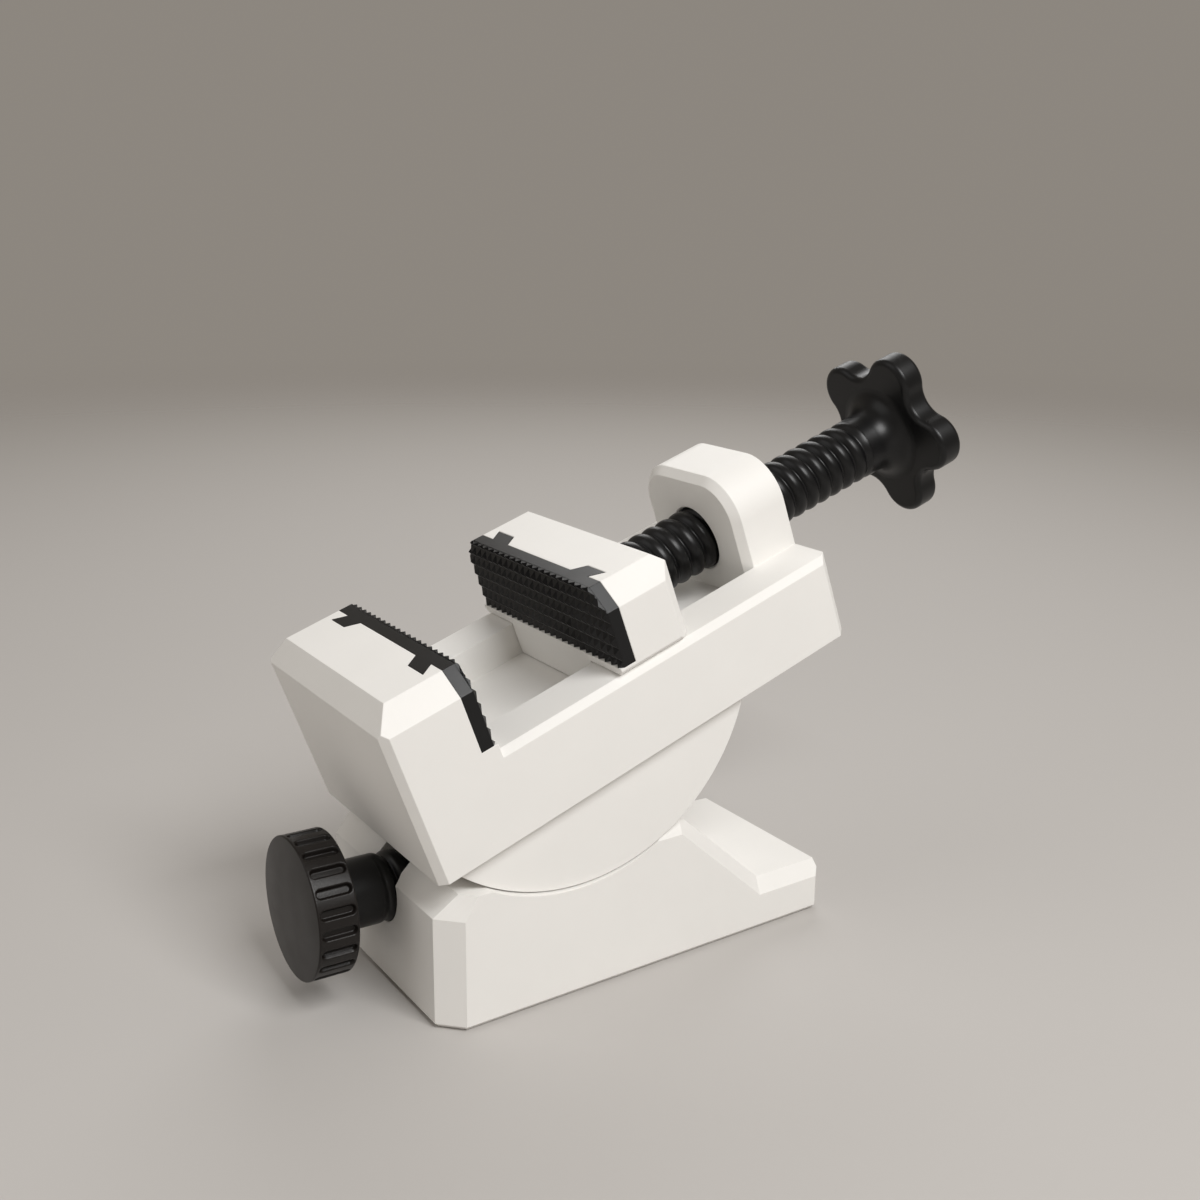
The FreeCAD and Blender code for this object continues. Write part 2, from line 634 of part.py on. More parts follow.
# Lead screw, turned about its own axis, with a neck, a flared hub and a square tang.
screw = new_body("lead_screw", tilted(screw_tip, screw_up))
neck_end = size("neck_start") + size("neck_length")
hub_flare = size("hub_flare")
screw_view = sketch_on(screw, "YZ_Plane")
outline(screw_view, [
    (size("screw_gap"), ZERO),
    (size("screw_length"), ZERO),
    (size("screw_length"), size("screw_radius") + hub_flare),
    (size("screw_length") - hub_flare, size("screw_radius")),
    (neck_end, size("screw_radius")),
    (neck_end, size("neck_radius")),
    (size("neck_start"), size("neck_radius")),
    (size("neck_start"), size("screw_radius")),
    (size("screw_gap"), size("screw_radius")),
])
revolve(screw, screw_view)
square_pad(screw, "Pad", size("screw_length"), size("tang_length"), size("tang_side"))

# Star knob: five round lobes joined by hollows that meet them smoothly.
star = new_body("star_knob", tilted(screw_tip + size("screw_length"), screw_up))
lobe = size("star_lobe")
lobe_out = size("star_radius") - lobe
lobe_step = as_size(DEGREES_ROUND / STAR_LOBES)
half_step_cos = cosine(lobe_step / 2)
valley = size("star_valley")
hollow = ((lobe * lobe - lobe_out * lobe_out - valley * valley
           + lobe_out * valley * half_step_cos * 2)
          / ((valley - lobe_out * half_step_cos - lobe) * 2))
hollow_out = valley + hollow
share = lobe / (lobe + hollow)


def around(radius, angle):
    """A point on the knob's face at a radius and an angle from +X."""
    return radius * cosine(angle), radius * sine(angle)


def between(start, end):
    """The point where a lobe that starts at one centre meets the hollow about the other."""
    return tuple(a + (b - a) * share for a, b in zip(start, end))


star_corners = []
for index in range(STAR_LOBES):
    lobe_middle = around(lobe_out, size("star_turn") + lobe_step * index)
    next_middle = around(lobe_out, size("star_turn") + lobe_step * (index + 1))
    before = around(hollow_out, size("star_turn") + lobe_step * (index - 0.5))
    after = around(hollow_out, size("star_turn") + lobe_step * (index + 0.5))
    star_corners.append(between(lobe_middle, before) + ("arc",) + lobe_middle + (lobe, "left"))
    star_corners.append(between(lobe_middle, after) + ("arc",) + after + (hollow, "right"))
star_view = sketch_on(star, "XZ_Plane", -size("star_thick"))
outline(star_view, star_corners)
extrude(star, "Pad", star_view, size("star_thick"))
soften(star, "Chamfer", size("star_edge"), lambda point:
       min(abs(point.y), abs(point.y - size("star_thick").value)) < NEAR)
square_pad(star, "Pocket", ZERO, size("tang_length") + size("socket_gap"),
           size("tang_side") + size("socket_gap") * 2)

# Lock screw and its knob stand on the axis of the bore in the base's front wall.
lock_place = upright(-half_length, size("lock_height"))
lock_screw = new_body("lock_screw", lock_place)
lock_tip = size("shoe_front") - size("shoe_gap")
lock_view = sketch_on(lock_screw, "YZ_Plane")
outline(lock_view, [
    (-size("knob_stand"), ZERO),
    (lock_tip + size("spigot_length"), ZERO),
    (lock_tip + size("spigot_length"), size("spigot_radius")),
    (lock_tip, size("spigot_radius")),
    (lock_tip, size("lock_radius")),
    (-size("knob_stand"), size("lock_radius")),
])
revolve(lock_screw, lock_view)
square_pad(lock_screw, "Pad", -size("knob_stand") - size("lock_tang"), size("lock_tang"),
           size("tang_side"))

lock_knob = new_body("lock_knob", lock_place)
knob_front = -size("knob_stand") - size("lock_knob_length")
dome = size("lock_knob_dome")
rim = size("lock_knob_rim")
knob_side = size("lock_knob_radius")
knob_view = sketch_on(lock_knob, "YZ_Plane")
outline(knob_view, [
    (-size("knob_stand"), ZERO),
    (-size("knob_stand"), knob_side - rim),
    (-size("knob_stand") - rim, knob_side),
    (knob_front + rim, knob_side),
    (knob_front, knob_side - rim),
    (knob_front - dome, size("lock_knob_flat")),
    (knob_front - dome, ZERO),
])
revolve(lock_knob, knob_view)
flute = sketch_on(lock_knob, "XZ_Plane", -knob_front - size("flute_front"))
half_floor = size("flute_floor") / 2
half_mouth = size("flute_width") - half_floor
flute_foot = knob_side - size("flute_depth")
outline(flute, symmetric((half_floor, flute_foot), (half_mouth, knob_side + size("flute_depth"))))
flute_cut = extrude(lock_knob, "Pocket", flute,
                    size("lock_knob_length") - size("flute_front") - size("flute_rear"))
flutes = lock_knob.newObject("PartDesign::PolarPattern", "lock_knob_flutes")
flutes.Originals = [flute_cut]
flutes.Axis = (origin_part(lock_knob, "Y_Axis"), [""])
flutes.Angle = DEGREES_ROUND
flutes.setExpression("Occurrences", "Sizes.flute_count")
lock_knob.Tip = flutes
doc.recompute()
square_pad(lock_knob, "Pocket", -size("knob_stand") - size("lock_tang") - size("socket_gap"),
           size("lock_tang") + size("socket_gap"), size("tang_side") + size("socket_gap") * 2)

# Brake shoe: slides in the bore, with a key in the notch above it, and bears on the sector
# with its hollow end.
shoe = new_body("lock_shoe", lock_place)
shoe_rear = size("shoe_front") + size("shoe_length")
shoe_view = sketch_on(shoe, "XZ_Plane", -shoe_rear)
ring(shoe_view, ZERO, ZERO, lock_bore - size("shoe_gap"))
extrude(shoe, "Pad", shoe_view, size("shoe_length"))
shoe_key = sketch_on(shoe, "XZ_Plane", -shoe_rear)
half_key = half_notch - size("shoe_gap")
outline(shoe_key, symmetric((half_key, ZERO), (half_key, size("shoe_key"))))
extrude(shoe, "Pad", shoe_key, size("shoe_length"))
spigot_hole = sketch_on(shoe, "XZ_Plane", -size("shoe_front"))
ring(spigot_hole, ZERO, ZERO, size("spigot_radius") + size("spigot_gap"))
extrude(shoe, "Pocket", spigot_hole, size("spigot_length") + size("spigot_gap"))
shoe_hollow = sketch_on(shoe, "YZ_Plane")
ring(shoe_hollow, size("axis_front"), axis_height - size("lock_height"), cradle_radius)
extrude(shoe, "Pocket", shoe_hollow, tall, both_ways=True)

# Nothing is written unless every object and every piece is sound.
doc.recompute()
failed = [item.Name for item in doc.Objects if "Invalid" in item.State or "Error" in item.State]
if failed:
    raise RuntimeError("These objects failed: " + ", ".join(failed))
pieces = [base, sector, bed, bolt_set, jaw, fixed_insert, moving_insert, clip, screw, star,
          lock_screw, lock_knob, shoe]
for piece in pieces:
    if piece.Shape.isNull() or not piece.Shape.isValid() or piece.Shape.Volume <= 0:
        raise RuntimeError(piece.Label + " has no sound shape")
    piece.Shape.exportStep("parts/%s.step" % piece.Label)
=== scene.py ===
import json
import math
import bpy
import bmesh
from mathutils import Matrix, Vector


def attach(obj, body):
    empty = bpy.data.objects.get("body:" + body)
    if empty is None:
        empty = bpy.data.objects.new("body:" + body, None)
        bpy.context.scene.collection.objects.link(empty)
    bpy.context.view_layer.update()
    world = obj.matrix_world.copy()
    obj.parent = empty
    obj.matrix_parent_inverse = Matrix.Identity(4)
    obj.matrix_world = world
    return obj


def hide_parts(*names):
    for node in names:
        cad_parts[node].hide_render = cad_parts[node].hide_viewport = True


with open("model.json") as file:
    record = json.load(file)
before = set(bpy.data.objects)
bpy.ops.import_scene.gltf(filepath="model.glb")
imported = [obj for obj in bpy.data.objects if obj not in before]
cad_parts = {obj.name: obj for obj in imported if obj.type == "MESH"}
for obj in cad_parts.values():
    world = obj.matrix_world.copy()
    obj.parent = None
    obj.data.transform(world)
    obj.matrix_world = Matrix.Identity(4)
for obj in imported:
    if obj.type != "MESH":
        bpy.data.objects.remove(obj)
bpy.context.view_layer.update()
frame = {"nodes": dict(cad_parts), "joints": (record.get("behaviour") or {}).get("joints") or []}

MM = 0.001
nodes = frame["nodes"]
joints = {joint["name"]: joint for joint in frame["joints"]}

# Base block: a wedge with the round cradle, printed in white plastic on its flat foot, so
# its layers lie level. The printer leaves every edge a little round.
EDGE_ROUND = 0.35 * MM
LAYER = 0.2 * MM


def printed_plastic(name, tone, layer_turn):
    """Matt plastic laid in fine layers, with a faint drift in tone and a fine grain."""
    material = bpy.data.materials.new(name)
    material.use_nodes = True
    tree = material.node_tree
    shader = tree.nodes["Principled BSDF"]
    shader.inputs["Specular IOR Level"].default_value = 0.4
    place = tree.nodes.new("ShaderNodeTexCoord")
    turn = tree.nodes.new("ShaderNodeMapping")
    turn.inputs["Rotation"].default_value = layer_turn
    layers = tree.nodes.new("ShaderNodeTexWave")
    layers.bands_direction = "Z"
    layers.inputs["Scale"].default_value = math.pi / 10 / LAYER
    layers.inputs["Distortion"].default_value = 0.15
    layers.inputs["Detail"].default_value = 2.0
    layers.inputs["Detail Scale"].default_value = 0.6
    drift = tree.nodes.new("ShaderNodeTexNoise")
    drift.inputs["Scale"].default_value = 55.0
    drift.inputs["Detail"].default_value = 4.0
    grain = tree.nodes.new("ShaderNodeTexNoise")
    grain.inputs["Scale"].default_value = 900.0
    grain.inputs["Detail"].default_value = 3.0
    colour = tree.nodes.new("ShaderNodeMixRGB")
    colour.inputs[1].default_value = (*[channel * 0.94 for channel in tone], 1)
    colour.inputs[2].default_value = (*tone, 1)
    gloss = tree.nodes.new("ShaderNodeMapRange")
    gloss.inputs["To Min"].default_value = 0.46
    gloss.inputs["To Max"].default_value = 0.6
    relief = tree.nodes.new("ShaderNodeMath")
    relief.operation = "MULTIPLY_ADD"
    relief.inputs[1].default_value = 0.3
    bump = tree.nodes.new("ShaderNodeBump")
    bump.inputs["Strength"].default_value = 0.35
    bump.inputs["Distance"].default_value = 0.03 * MM
    links = tree.links
    links.new(place.outputs["Object"], turn.inputs["Vector"])
    links.new(turn.outputs["Vector"], layers.inputs["Vector"])
    links.new(place.outputs["Object"], drift.inputs["Vector"])
    links.new(place.outputs["Object"], grain.inputs["Vector"])
    links.new(drift.outputs["Fac"], colour.inputs[0])
    links.new(colour.outputs["Color"], shader.inputs["Base Color"])
    links.new(grain.outputs["Fac"], gloss.inputs["Value"])
    links.new(gloss.outputs["Result"], shader.inputs["Roughness"])
    links.new(grain.outputs["Fac"], relief.inputs[0])
    links.new(layers.outputs["Fac"], relief.inputs[2])
    links.new(relief.outputs["Value"], bump.inputs["Height"])
    links.new(bump.outputs["Normal"], shader.inputs["Normal"])
    return material


def settle(piece, name, body, stands_for):
    """Turn a piece's modifiers into its mesh, tie it to its body and hide the CAD node it stands
    for.
    """
    seen = piece.evaluated_get(bpy.context.evaluated_depsgraph_get())
    mesh = bpy.data.meshes.new_from_object(seen)
    piece.modifiers.clear()
    piece.data = mesh
    piece.name = mesh.name = name
    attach(piece, body)
    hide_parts(stands_for)
    return piece


def plain_mesh(node):
    """A copy of a piece's mesh, without the normals it came with."""
    mesh = nodes[node].data.copy()
    if "custom_normal" in mesh.attributes:
        mesh.attributes.remove(mesh.attributes["custom_normal"])
    return mesh


def softened(node, body, material, edge=EDGE_ROUND, mesh=None):
    """A piece with its sharp edges rounded, from its own mesh or a given one."""
    mesh = mesh or plain_mesh(node)
    mesh.materials.clear()
    mesh.materials.append(material)
    mesh.shade_smooth()
    piece = bpy.data.objects.new(node + "_soft", mesh)
    bpy.context.scene.collection.objects.link(piece)
    joined = piece.modifiers.new("join", "WELD")
    joined.merge_threshold = 0.001 * MM
    flat = piece.modifiers.new("flat", "DECIMATE")
    flat.decimate_type = "DISSOLVE"
    flat.angle_limit = math.radians(0.5)
    rounded = piece.modifiers.new("rounded", "BEVEL")
    rounded.width = edge
    rounded.segments = 3
    rounded.limit_method = "ANGLE"
    rounded.angle_limit = math.radians(24)
    even = piece.modifiers.new("even", "WEIGHTED_NORMAL")
    even.keep_sharp = True
    return settle(piece, node + "_finished", body, node)


WHITE = (0.86, 0.845, 0.815)
softened("base_block", "base", printed_plastic("white_base", WHITE, (0, 0, 0)))


# Slide bed, its round sector and the moving jaw: the same white plastic. Each was printed
# lying flat, so the layers lean with the bed.
tilt_axis = Vector(joints["tilt"]["pos_m"])
along_bed = Vector(joints["jaw_slide"]["axis"]).normalized()
lean = math.atan2(along_bed.z, along_bed.y)
white_bed = printed_plastic("white_bed", WHITE, (-lean, 0, 0))
softened("tilt_sector", "bed", white_bed)
softened("tilt_body", "bed", white_bed)
softened("moving_jaw", "jaw", white_bed)


# Four socket screws join the bed to its sector: zinc plate with a soft cloudy sheen and
# fine turning marks.
def zinc_plate():
    """Plated steel: cloudy gloss and a fine grain."""
    material = bpy.data.materials.new("zinc_plate")
    material.use_nodes = True
    tree = material.node_tree
    shader = tree.nodes["Principled BSDF"]
    shader.inputs["Metallic"].default_value = 1.0
    place = tree.nodes.new("ShaderNodeTexCoord")
    cloud = tree.nodes.new("ShaderNodeTexNoise")
    cloud.inputs["Scale"].default_value = 400.0
    cloud.inputs["Detail"].default_value = 4.0
    tone = tree.nodes.new("ShaderNodeMixRGB")
    tone.inputs[1].default_value = (0.46, 0.47, 0.49, 1)
    tone.inputs[2].default_value = (0.62, 0.62, 0.63, 1)
    gloss = tree.nodes.new("ShaderNodeMapRange")
    gloss.inputs["To Min"].default_value = 0.24
    gloss.inputs["To Max"].default_value = 0.42
    scratch = tree.nodes.new("ShaderNodeTexNoise")
    scratch.inputs["Scale"].default_value = 3500.0
    bump = tree.nodes.new("ShaderNodeBump")
    bump.inputs["Strength"].default_value = 0.2
    bump.inputs["Distance"].default_value = 0.01 * MM
    links = tree.links
    for texture in (cloud, scratch):
        links.new(place.outputs["Object"], texture.inputs["Vector"])
    links.new(cloud.outputs["Fac"], tone.inputs[0])
    links.new(tone.outputs["Color"], shader.inputs["Base Color"])
    links.new(cloud.outputs["Fac"], gloss.inputs["Value"])
    links.new(gloss.outputs["Result"], shader.inputs["Roughness"])
    links.new(scratch.outputs["Fac"], bump.inputs["Height"])
    links.new(bump.outputs["Normal"], shader.inputs["Normal"])
    return material


BOLT_EDGE = 0.12 * MM
softened("sector_bolts", "bed", zinc_plate(), BOLT_EDGE)


# Toothed plates of both jaws, the clip and the brake shoe: black satin plastic, printed
# fine enough that only a light grain shows.
def satin_plastic(name, tone, roughness, grain_size, depth):
    """Black plastic with a cloudy gloss and a grain of a given size and depth."""
    material = bpy.data.materials.new(name)
    material.use_nodes = True
    tree = material.node_tree
    shader = tree.nodes["Principled BSDF"]
    shader.inputs["Specular IOR Level"].default_value = 0.3
    place = tree.nodes.new("ShaderNodeTexCoord")
    drift = tree.nodes.new("ShaderNodeTexNoise")
    drift.inputs["Scale"].default_value = 160.0
    drift.inputs["Detail"].default_value = 5.0
    colour = tree.nodes.new("ShaderNodeMixRGB")
    colour.inputs[1].default_value = (*tone, 1)
    colour.inputs[2].default_value = (*[channel * 1.8 for channel in tone], 1)
    rough = tree.nodes.new("ShaderNodeMapRange")
    rough.inputs["To Min"].default_value = roughness - 0.06
    rough.inputs["To Max"].default_value = roughness + 0.1
    grain = tree.nodes.new("ShaderNodeTexNoise")
    grain.inputs["Scale"].default_value = 1 / grain_size
    grain.inputs["Detail"].default_value = 3.0
    bump = tree.nodes.new("ShaderNodeBump")
    bump.inputs["Strength"].default_value = 0.5
    bump.inputs["Distance"].default_value = depth
    links = tree.links
    for texture in (drift, grain):
        links.new(place.outputs["Object"], texture.inputs["Vector"])
    links.new(drift.outputs["Fac"], colour.inputs[0])
    links.new(colour.outputs["Color"], shader.inputs["Base Color"])
    links.new(drift.outputs["Fac"], rough.inputs["Value"])
    links.new(rough.outputs["Result"], shader.inputs["Roughness"])
    links.new(grain.outputs["Fac"], bump.inputs["Height"])
    links.new(bump.outputs["Normal"], shader.inputs["Normal"])
    return material


BLACK = (0.0035, 0.0035, 0.0037)
black = satin_plastic("black_satin", BLACK, 0.32, 0.5 * MM, 0.012 * MM)
TOOTH_EDGE = 0.07 * MM
TOOTH_PITCH = 2.5 * MM
TOOTH_DEPTH = 1.0 * MM
TOOTH_ROWS = 6
SUNK = 0.03 * MM


def toothed(node, facing):
    """A plate's mesh with crossed rows of pointed teeth, which start on its top edge."""
    across = Vector((1, 0, 0))
    up = across.cross(along_bed)
    plate = bmesh.new()
    plate.from_mesh(plain_mesh(node))
    bmesh.ops.remove_doubles(plate, verts=plate.verts, dist=0.001 * MM)
    crest = max(vertex.co.dot(facing) for vertex in plate.verts)
    seat = crest - TOOTH_DEPTH * 1.1
    everything = plate.verts[:] + plate.edges[:] + plate.faces[:]
    cut = bmesh.ops.bisect_plane(plate, geom=everything, plane_co=facing * seat,
                                 plane_no=facing, clear_outer=True)
    rim = [item for item in cut["geom_cut"] if isinstance(item, bmesh.types.BMEdge)]
    bmesh.ops.holes_fill(plate, edges=rim)
    half_width = max(edge.verts[0].co.dot(across) for edge in rim)
    heights = [edge.verts[0].co.dot(up) for edge in rim]
    foot, top = min(heights), max(heights)
    columns = round(half_width * 2 / TOOTH_PITCH) * 2
    rows = TOOTH_ROWS * 2
    teeth = bmesh.new()
    grid = [[teeth.verts.new(
        across * half_width * (column / columns * 2 - 1) + up * (foot + (top - foot) * row / rows)
        + facing * (crest - (0 if column % 2 and not row % 2 else TOOTH_DEPTH)))
        for column in range(columns + 1)] for row in range(rows + 1)]
    for row in range(rows):
        for column in range(columns):
            ring = [grid[row][column], grid[row][column + 1], grid[row + 1][column + 1],
                    grid[row + 1][column]]
            if (row + column) % 2 == 0:
                ring = ring[1:] + ring[:1]
            teeth.faces.new((ring[0], ring[1], ring[2]))
            teeth.faces.new((ring[0], ring[2], ring[3]))
    middle = facing * seat + up * (foot + top) / 2
    for edge in rim:
        start, end = (vertex.co for vertex in edge.verts)
        outward = (end - start).cross(facing).normalized()
        if outward.dot(middle - start) > 0:
            outward = -outward
        everything = teeth.verts[:] + teeth.edges[:] + teeth.faces[:]
        bmesh.ops.bisect_plane(teeth, geom=everything, dist=0.001 * MM, plane_co=start,
                               plane_no=outward, clear_outer=True)
    open_edges = [edge for edge in teeth.edges if len(edge.link_faces) == 1]
    walls = bmesh.ops.extrude_edge_only(teeth, edges=open_edges)["geom"]
    for item in walls:
        if isinstance(item, bmesh.types.BMVert):
            item.co += facing * (seat - SUNK - item.co.dot(facing))
    base_edges = [edge for edge in teeth.edges if len(edge.link_faces) == 1]
    bmesh.ops.holes_fill(teeth, edges=base_edges)
    bmesh.ops.recalc_face_normals(teeth, faces=teeth.faces)
    mesh = bpy.data.meshes.new(node + "_teeth")
    teeth.to_mesh(mesh)
    plate.from_mesh(mesh)
    plate.to_mesh(mesh)
    teeth.free()
    plate.free()
    return mesh


softened("fixed_insert", "bed", black, TOOTH_EDGE, toothed("fixed_insert", along_bed))
softened("moving_insert", "jaw", black, TOOTH_EDGE,
         toothed("moving_insert", -along_bed))
softened("screw_clip", "jaw", black)
softened("lock_shoe", "shoe", black)


# Lead screw: one black piece with a plain tip and neck, a coarse right-hand thread and a
# flared hub, which carries the star knob. The thread is a grid wound round the axis.
THREAD_PITCH = 4.0 * MM
THREAD_DEPTH = 1.3 * MM
ROUNDNESS = 2.6
COLUMNS = 72
ROWS_PER_TURN = 16


class Formula:
    """A number that changes over a mesh, kept as the node that works it out."""

    def __init__(self, tree, socket):
        self.tree = tree
        self.socket = socket

    def math(self, operation, *others):
        node = self.tree.nodes.new("ShaderNodeMath")
        node.operation = operation
        for slot, value in zip(node.inputs, (self,) + others):
            if isinstance(value, Formula):
                self.tree.links.new(value.socket, slot)
            else:
                slot.default_value = value
        return Formula(self.tree, node.outputs[0])

    def __add__(self, other):
        return self.math("ADD", other)

    def __sub__(self, other):
        return self.math("SUBTRACT", other)

    def __mul__(self, other):
        return self.math("MULTIPLY", other)

    def __truediv__(self, other):
        return self.math("DIVIDE", other)

    def least(self, other):
        return self.math("MINIMUM", other)

    def most(self, other):
        return self.math("MAXIMUM", other)

    def eased(self, low, high):
        """0 below the low value and 1 above the high one, with a soft step between."""
        step = self.tree.nodes.new("ShaderNodeMapRange")
        step.interpolation_type = "SMOOTHSTEP"
        self.tree.links.new(self.socket, step.inputs["Value"])
        for name, value in (("From Min", low), ("From Max", high)):
            if isinstance(value, Formula):
                self.tree.links.new(value.socket, step.inputs[name])
            else:
                step.inputs[name].default_value = value
        return Formula(self.tree, step.outputs["Result"])


def new_tree(name, sizes, takes_mesh):
    """A node tree with named sizes, and the same sizes as formulas."""
    tree = bpy.data.node_groups.new(name, "GeometryNodeTree")
    if takes_mesh:
        tree.interface.new_socket("Mesh", in_out="INPUT", socket_type="NodeSocketGeometry")
    for size in sizes:
        tree.interface.new_socket(size, in_out="INPUT", socket_type="NodeSocketFloat")
    tree.interface.new_socket("Finish", in_out="INPUT", socket_type="NodeSocketMaterial")
    tree.interface.new_socket("Mesh", in_out="OUTPUT", socket_type="NodeSocketGeometry")
    given = tree.nodes.new("NodeGroupInput")
    return tree, given, [Formula(tree, given.outputs[size]) for size in sizes]


def place_of(tree):
    """Across, along and up of each point of the mesh."""
    position = tree.nodes.new("GeometryNodeInputPosition")
    parts = tree.nodes.new("ShaderNodeSeparateXYZ")
    tree.links.new(position.outputs["Position"], parts.inputs["Vector"])
    return [Formula(tree, parts.outputs[axis]) for axis in "XYZ"]


def finish_tree(tree, given, mesh, across, along, up, flip):
    """Move each point to its new place, join the seam and give the mesh its finish."""
    point = tree.nodes.new("ShaderNodeCombineXYZ")
    for axis, value in zip("XYZ", (across, along, up)):
        tree.links.new(value.socket, point.inputs[axis])
    moved = tree.nodes.new("GeometryNodeSetPosition")
    tree.links.new(mesh, moved.inputs["Geometry"])
    tree.links.new(point.outputs["Vector"], moved.inputs["Position"])
    joined = tree.nodes.new("GeometryNodeMergeByDistance")
    joined.inputs["Distance"].default_value = 0.005 * MM
    tree.links.new(moved.outputs["Geometry"], joined.inputs["Geometry"])
    last = joined.outputs["Geometry"]
    if flip:
        turned_out = tree.nodes.new("GeometryNodeFlipFaces")
        tree.links.new(last, turned_out.inputs["Mesh"])
        last = turned_out.outputs["Mesh"]
    smooth = tree.nodes.new("GeometryNodeSetShadeSmooth")
    tree.links.new(last, smooth.inputs["Geometry"])
    real = tree.nodes.new("GeometryNodeRealizeInstances")
    tree.links.new(smooth.outputs["Geometry"], real.inputs["Geometry"])
    finish = tree.nodes.new("GeometryNodeSetMaterial")
    tree.links.new(real.outputs["Geometry"], finish.inputs["Geometry"])
    tree.links.new(given.outputs["Finish"], finish.inputs["Material"])
    out = tree.nodes.new("NodeGroupOutput")
    tree.links.new(finish.outputs["Geometry"], out.inputs["Mesh"])


def thread_tree():
    """A coarse rounded thread along +Y, run out at its start and filled in at its end."""
    tree, given, (crest, root, pitch, length) = new_tree(
        "coarse_thread", ("Crest Radius", "Root Radius", "Pitch", "Length"), False)
    row_step = pitch / ROWS_PER_TURN
    rows = ((length + pitch) / row_step).math("CEIL") + 3
    grid = tree.nodes.new("GeometryNodeMeshGrid")
    grid.inputs["Size X"].default_value = 1.0
    grid.inputs["Size Y"].default_value = 1.0
    grid.inputs["Vertices X"].default_value = COLUMNS + 1
    tree.links.new(rows.socket, grid.inputs["Vertices Y"])
    across, along, _ = place_of(tree)
    turned_by = across + 0.5
    row = (along + 0.5) * (rows - 1)
    lift = pitch * turned_by
    wound = ((row - 1) * row_step).least(length + lift).most(lift)
    reach = wound - lift
    off_crest = ((wound / pitch).math("FRACT") * 2 - 1).math("ABSOLUTE")
    ridge = (off_crest.math("POWER", ROUNDNESS) * -1 + 1) * reach.eased(0.0, pitch)
    filled = reach.eased(length - pitch, length)
    inside = row.eased(0.4, 0.6) * (rows - 1 - row).eased(0.4, 0.6)
    radius = (root + (crest - root) * ridge.most(filled)) * inside
    angle = turned_by * math.tau
    finish_tree(tree, given, grid.outputs["Mesh"], radius * angle.math("COSINE"), reach,
                radius * angle.math("SINE"), True)
    return tree


def give_sizes(piece, tree, sizes):
    """Put a node tree on a piece with its named sizes."""
    modifier = piece.modifiers.new(tree.name, "NODES")
    modifier.node_group = tree
    for item in tree.interface.items_tree:
        if item.in_out == "INPUT" and item.name in sizes:
            modifier[item.identifier] = sizes[item.name]


def rounded_line(corners, steps=5):
    """Points along a line of corners (along, out, round), each rounded by its radius."""
    points = []
    for index, (along, out, radius) in enumerate(corners):
        here = Vector((along, out))
        if not radius:
            points.append(here)
            continue
        before = (Vector(corners[index - 1][:2]) - here).normalized()
        after = (Vector(corners[index + 1][:2]) - here).normalized()
        half = before.angle(after) / 2
        middle = here + (before + after).normalized() * radius / math.sin(half)
        start = here + before * radius / math.tan(half) - middle
        end = here + after * radius / math.tan(half) - middle
        for step in range(steps + 1):
            facing = start.normalized().slerp(end.normalized(), step / steps)
            points.append(middle + facing * radius)
    return points


def turned(name, corners, columns, material):
    """A closed shape turned about the Y axis. Its first and last corners lie on the axis."""
    points = rounded_line(corners)
    shape = bmesh.new()
    rings = []
    for point in points:
        if point.y < 1e-9:
            rings.append([shape.verts.new((0, point.x, 0))] * columns)
            continue
        angles = [math.tau * column / columns for column in range(columns)]
        rings.append([shape.verts.new((point.y * math.cos(a), point.x, point.y * math.sin(a)))
                      for a in angles])
    for first, second in zip(rings, rings[1:]):
        for column in range(columns):
            following = (column + 1) % columns
            corners_of_face = []
            for vertex in (first[column], second[column], second[following], first[following]):
                if vertex not in corners_of_face:
                    corners_of_face.append(vertex)
            shape.faces.new(corners_of_face)
    bmesh.ops.recalc_face_normals(shape, faces=shape.faces)
    mesh = bpy.data.meshes.new(name)
    shape.to_mesh(mesh)
    shape.free()
    mesh.shade_smooth()
    mesh.set_sharp_from_angle(angle=math.radians(40))
    mesh.materials.append(material)
    piece = bpy.data.objects.new(name, mesh)
    bpy.context.scene.collection.objects.link(piece)
    return piece


def merged(name, pieces, place):
    """One piece from several, each given with its start along the axis and its turn."""
    whole = bmesh.new()
    for piece, start, turn in pieces:
        seen = piece.evaluated_get(bpy.context.evaluated_depsgraph_get())
        mesh = bpy.data.meshes.new_from_object(seen)
        mesh.transform(place @ Matrix.Translation((0, start, 0)) @ turn)
        whole.from_mesh(mesh)
        bpy.data.objects.remove(piece)
    result = bpy.data.meshes.new(name)
    whole.to_mesh(result)
    whole.free()
    result.materials.append(black)
    joined = bpy.data.objects.new(name, result)
    bpy.context.scene.collection.objects.link(joined)
    return joined


def along_node(node, start, direction):
    """How far a CAD piece reaches along a line, from its lowest to its highest point, and
    its widest radius about the line."""
    places = [vertex.co - start for vertex in nodes[node].data.vertices]
    reach = [place.dot(direction) for place in places]
    wide = max((place - direction * far).length for place, far in zip(places, reach))
    return min(reach), max(reach), wide


NECK_START, NECK_LENGTH, NECK_RADIUS = 2.6 * MM, 3.2 * MM, 5.2 * MM
HUB_LENGTH = 9.5 * MM
FLARE_LENGTH, FLARE_RISE = 6.0 * MM, 4.9 * MM
SCREW_RADIUS = 7.6 * MM
TIP_EDGE = 0.6 * MM
screw_start = Vector(joints["screw_turn"]["pos_m"])
tip, screw_end, _ = along_node("lead_screw", screw_start, along_bed)
knob_face, knob_back, star_radius = along_node("star_knob", screw_start, along_bed)
neck_end = NECK_START + NECK_LENGTH
hub_start = knob_face - HUB_LENGTH
coarse_thread = thread_tree()


